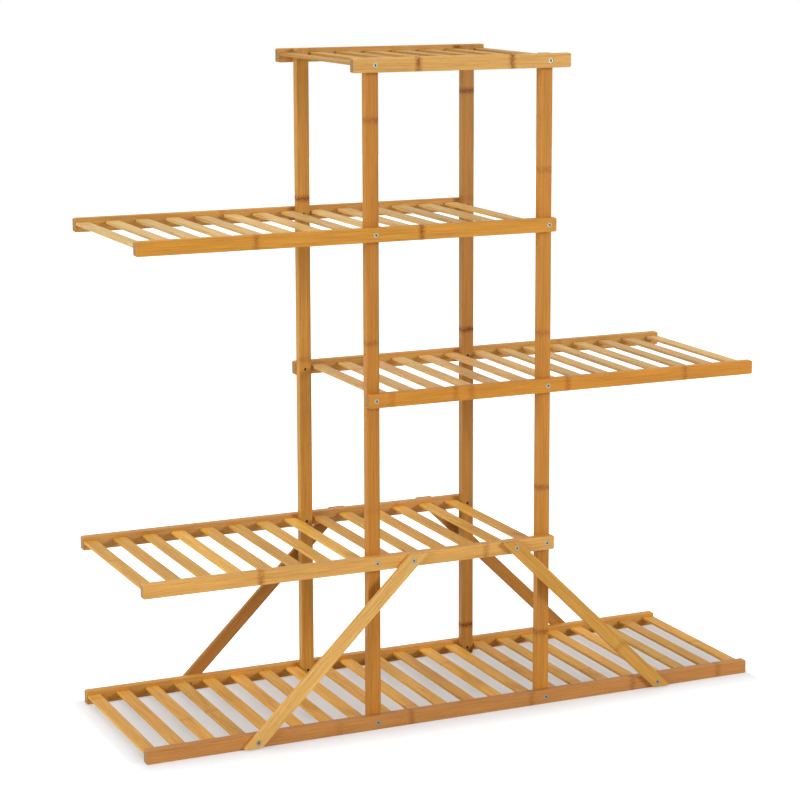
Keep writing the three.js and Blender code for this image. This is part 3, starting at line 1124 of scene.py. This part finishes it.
def screw_set_tree():
    """A screw at every point, turned as the point says, with its socket at any angle."""
    tree = new_tree(
        "screw_set",
        {"Screw": "NodeSocketObject", "Seed": "NodeSocketInt", "Material": "NodeSocketMaterial"},
    )
    given = add_node(tree, "NodeGroupInput")
    shape = add_node(tree, "GeometryNodeObjectInfo", {"Object": (given, "Screw")})
    turn = add_node(
        tree, "GeometryNodeInputNamedAttribute", {"Name": "turn"}, data_type="FLOAT_VECTOR"
    )
    rotation = add_node(tree, "FunctionNodeEulerToRotation", {"Euler": (turn, "Attribute")})
    placed = add_node(
        tree,
        "GeometryNodeInstanceOnPoints",
        {
            "Points": (given, "Geometry"),
            "Instance": (shape, "Geometry"),
            "Rotation": (rotation, "Rotation"),
        },
    )
    angle = add_node(
        tree,
        "FunctionNodeRandomValue",
        {LOW: 0.0, HIGH: math.pi / 3, "Seed": (given, "Seed")},
        data_type="FLOAT",
    )
    spin = add_node(tree, "ShaderNodeCombineXYZ", {"Z": (angle, NUMBER)})
    spin_rotation = add_node(tree, "FunctionNodeEulerToRotation", {"Euler": (spin, "Vector")})
    spun = add_node(
        tree,
        "GeometryNodeRotateInstances",
        {
            "Instances": (placed, "Instances"),
            "Rotation": (spin_rotation, "Rotation"),
            "Local Space": True,
        },
    )
    add_ending(tree, given, (spun, "Instances"))
    return tree


def screw_points(screws):
    """A point where each screw enters the wood, with the turn that brings +Z into the wood."""
    places = []
    turns = []
    for node, side in screws:
        places.append(screw_start(node, side))
        turns.append((outward(side) * math.pi / 2, 0.0, 0.0))
    mesh = bpy.data.meshes.new("screw_points")
    mesh.from_pydata(places, [], [])
    stored = mesh.attributes.new("turn", "FLOAT_VECTOR", "POINT")
    for entry, turn in zip(stored.data, turns):
        entry.vector = turn
    return mesh


class PLANTSTAND_OT_screws(bpy.types.Operator):
    """Puts a countersunk screw with a hexagonal socket at every screw of the frame."""

    bl_idname = "plant_stand.screws"
    bl_label = "Build Screws"

    def execute(self, context):
        tree = screw_set_tree()
        material = zinc_plated_steel()
        for seed, kind in enumerate(("shelf", "brace")):
            screws = [(node, side) for node, side in screw_nodes() if node.startswith(kind)]
            low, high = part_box(screws[0][0])
            shape = screw_shape(high.y - low.y + sizes().head_recess, tip_shaded=kind == "shelf")
            values = {"Screw": shape, "Seed": seed, "Material": material}
            screw_set = run_tree(f"{kind}_screws", screw_points(screws), tree, values)
            place_piece(screw_set, material, "screw_steel", *(node for node, side in screws))
            discard(shape)
        return {"FINISHED"}


# ---- Stage ---------------------------------------------------------------------------------

CAMERA_PLACE = Vector((-1485.952, -3248.288, 1179.202)) * MM
CAMERA_TURN = (math.radians(90 - 9.407), 0.0, math.radians(-25.112))
PICTURE = 800  # pixels each way
FOCAL_PIXELS = 2376.339
AXIS_X, AXIS_Y = 442.674, 316.655  # the pixel that the camera's axis meets
SENSOR = 36.0  # mm


LAMP_AIM = Vector((0.0, 0.0, 0.45))  # m; about the middle of the stand
# Each lamp's place and the size of its square, in metres
LAMPS = {
    "top": ((-0.7, 1.1, 4.8), 3.0),
    "left": ((-5.1, -1.6, 1.3), 3.0),
    "front": ((3.3, -4.1, 2.0), 1.4),
}
FLOOR_HALF = 8.0  # m; half the floor's side


def add_lamp(name, place, size, power):
    """A square lamp, of this size in metres, that faces the stand."""
    lamp = bpy.data.lights.new(name, "AREA")
    lamp.size = size
    lamp.energy = power
    obj = bpy.data.objects.new(name, lamp)
    obj.location = place
    obj.rotation_euler = (LAMP_AIM - Vector(place)).to_track_quat("-Z", "Y").to_euler()
    bpy.context.scene.collection.objects.link(obj)


def seen_directly(tree):
    """A node that is 1 for camera, mirror and see-through rays, and 0 for the rays that light things."""
    path = add_node(tree, "ShaderNodeLightPath")
    mirror = add_node(
        tree,
        "ShaderNodeMath",
        {0: (path, "Is Glossy Ray"), 1: (path, "Is Transmission Ray")},
        operation="MAXIMUM",
    )
    return add_node(
        tree, "ShaderNodeMath", {0: (path, "Is Camera Ray"), 1: (mirror, "Value")}, operation="MAXIMUM"
    )


# How far past the stand the floor's shade fades, in metres: left and front, right and rear. That shade is
# partly the stand's real shadow and partly painted shade, where the floor's glow is weaker near the
# stand. The third value never counts, because the floor is level with the stand's foot.
SHADE_BEFORE = (0.07, 0.12, 1.0)
SHADE_AFTER = (0.015, 0.006, 1.0)


def floor_glow(tree):
    """How strongly the floor glows: little under the stand, where it lies in shade, and more round it, so
    the weaker glow near the stand also paints shade.
    """
    low, high = CAD_BOX
    place = add_node(tree, "ShaderNodeTexCoord")
    here = (place, "Object")
    shares = []
    for above, below, fade in ((here, high, SHADE_AFTER), (low, here, SHADE_BEFORE)):
        past = add_node(tree, "ShaderNodeVectorMath", {0: above, 1: below}, operation="SUBTRACT")
        outside = add_node(tree, "ShaderNodeVectorMath", {0: (past, "Vector")}, operation="MAXIMUM")
        shares.append(
            add_node(tree, "ShaderNodeVectorMath", {0: (outside, "Vector"), 1: fade}, operation="DIVIDE")
        )
    both = add_node(
        tree, "ShaderNodeVectorMath", {0: (shares[0], "Vector"), 1: (shares[1], "Vector")}, operation="ADD"
    )
    distance = add_node(tree, "ShaderNodeVectorMath", {0: (both, "Vector")}, operation="LENGTH")
    return add_node(
        tree,
        "ShaderNodeMapRange",
        {"Value": (distance, "Value"), "To Min": studio().shade_lift, "To Max": studio().floor_lift},
    )


def add_camera(scene):
    data = bpy.data.cameras.new("camera")
    data.sensor_width = SENSOR
    data.lens = FOCAL_PIXELS / PICTURE * SENSOR
    data.shift_x = (PICTURE / 2 - AXIS_X) / PICTURE
    data.shift_y = (AXIS_Y - PICTURE / 2) / PICTURE
    camera = bpy.data.objects.new("camera", data)
    camera.location = CAMERA_PLACE
    camera.rotation_euler = CAMERA_TURN
    scene.collection.objects.link(camera)
    scene.camera = camera


def add_surround(scene):
    """A world that is white where it is seen, and lights things with a soft ambient."""
    world = bpy.data.worlds.new("studio")
    scene.world = world
    world.use_nodes = True
    tree = world.node_tree
    tree.nodes.clear()
    seen = seen_directly(tree)
    light = add_node(tree, "ShaderNodeBackground", {"Color": WHITE, "Strength": studio().ambient})
    white = add_node(tree, "ShaderNodeBackground", {"Color": WHITE, "Strength": 1.0})
    both = add_node(
        tree,
        "ShaderNodeMixShader",
        {"Fac": (seen, "Value"), 1: (light, "Background"), 2: (white, "Background")},
    )
    add_node(tree, "ShaderNodeOutputWorld", {"Surface": (both, "Shader")})


def matt_floor():
    """Matt pale studio floor: it takes the stand's soft shadow, and glows to white round it."""
    material, tree, shader = new_material("matt_studio_floor")
    shader.inputs["Base Color"].default_value = rgba(colours().floor)
    shader.inputs["Roughness"].default_value = 0.9
    shader.inputs["Specular IOR Level"].default_value = 0.1
    lift = add_node(
        tree,
        "ShaderNodeMath",
        {0: (seen_directly(tree), "Value"), 1: (floor_glow(tree), "Result")},
        operation="MULTIPLY",
    )
    glow = add_node(tree, "ShaderNodeEmission", {"Strength": (lift, "Value")})
    total = add_node(tree, "ShaderNodeAddShader", {0: (shader, "BSDF"), 1: (glow, "Emission")})
    output = next(node for node in tree.nodes if node.type == "OUTPUT_MATERIAL")
    tree.links.new(total.outputs["Shader"], output.inputs["Surface"])
    return material


class PLANTSTAND_OT_stage(bpy.types.Operator):
    """Builds the studio: camera, lamps, white surround and pale floor."""

    bl_idname = "plant_stand.stage"
    bl_label = "Build Stage"

    def execute(self, context):
        scene = context.scene
        scene.view_settings.view_transform = "Standard"
        add_camera(scene)
        for name, (place, size) in LAMPS.items():
            add_lamp(f"{name}_lamp", place, size, getattr(studio(), f"{name}_power"))
        add_surround(scene)
        mesh = bmesh.new()
        bmesh.ops.create_grid(mesh, x_segments=8, y_segments=8, size=FLOOR_HALF)
        floor = mesh_object("floor", mesh)
        floor.data.materials.append(matt_floor())
        return {"FINISHED"}


class VIEW3D_PT_plant_stand(bpy.types.Panel):
    bl_label = "Plant Stand"
    bl_space_type = "VIEW_3D"
    bl_region_type = "UI"
    bl_category = "Plant Stand"

    def draw(self, context):
        for group in (sizes(), colours(), studio()):
            box = self.layout.box()
            for name in group.__annotations__:
                box.prop(group, name)
        for operator in STEPS:
            self.layout.operator(operator.bl_idname)


STEPS = (
    PLANTSTAND_OT_rails,
    PLANTSTAND_OT_slats,
    PLANTSTAND_OT_posts,
    PLANTSTAND_OT_braces,
    PLANTSTAND_OT_screws,
    PLANTSTAND_OT_stage,
)
GROUPS = {
    "plant_stand_sizes": StandSizes,
    "plant_stand_colours": StandColours,
    "plant_stand_studio": StudioSettings,
}
CLASSES = (*GROUPS.values(), *STEPS, VIEW3D_PT_plant_stand)


def register():
    for cls in CLASSES:
        bpy.utils.register_class(cls)
    for name, group in GROUPS.items():
        setattr(bpy.types.Scene, name, PointerProperty(type=group))


def unregister():
    for name in GROUPS:
        delattr(bpy.types.Scene, name)
    for cls in reversed(CLASSES):
        bpy.utils.unregister_class(cls)


def main():
    register()
    bpy.ops.plant_stand.rails()
    bpy.ops.plant_stand.slats()
    bpy.ops.plant_stand.posts()
    bpy.ops.plant_stand.braces()
    bpy.ops.plant_stand.screws()
    bpy.ops.plant_stand.stage()


if __name__ == "__main__":
    main()
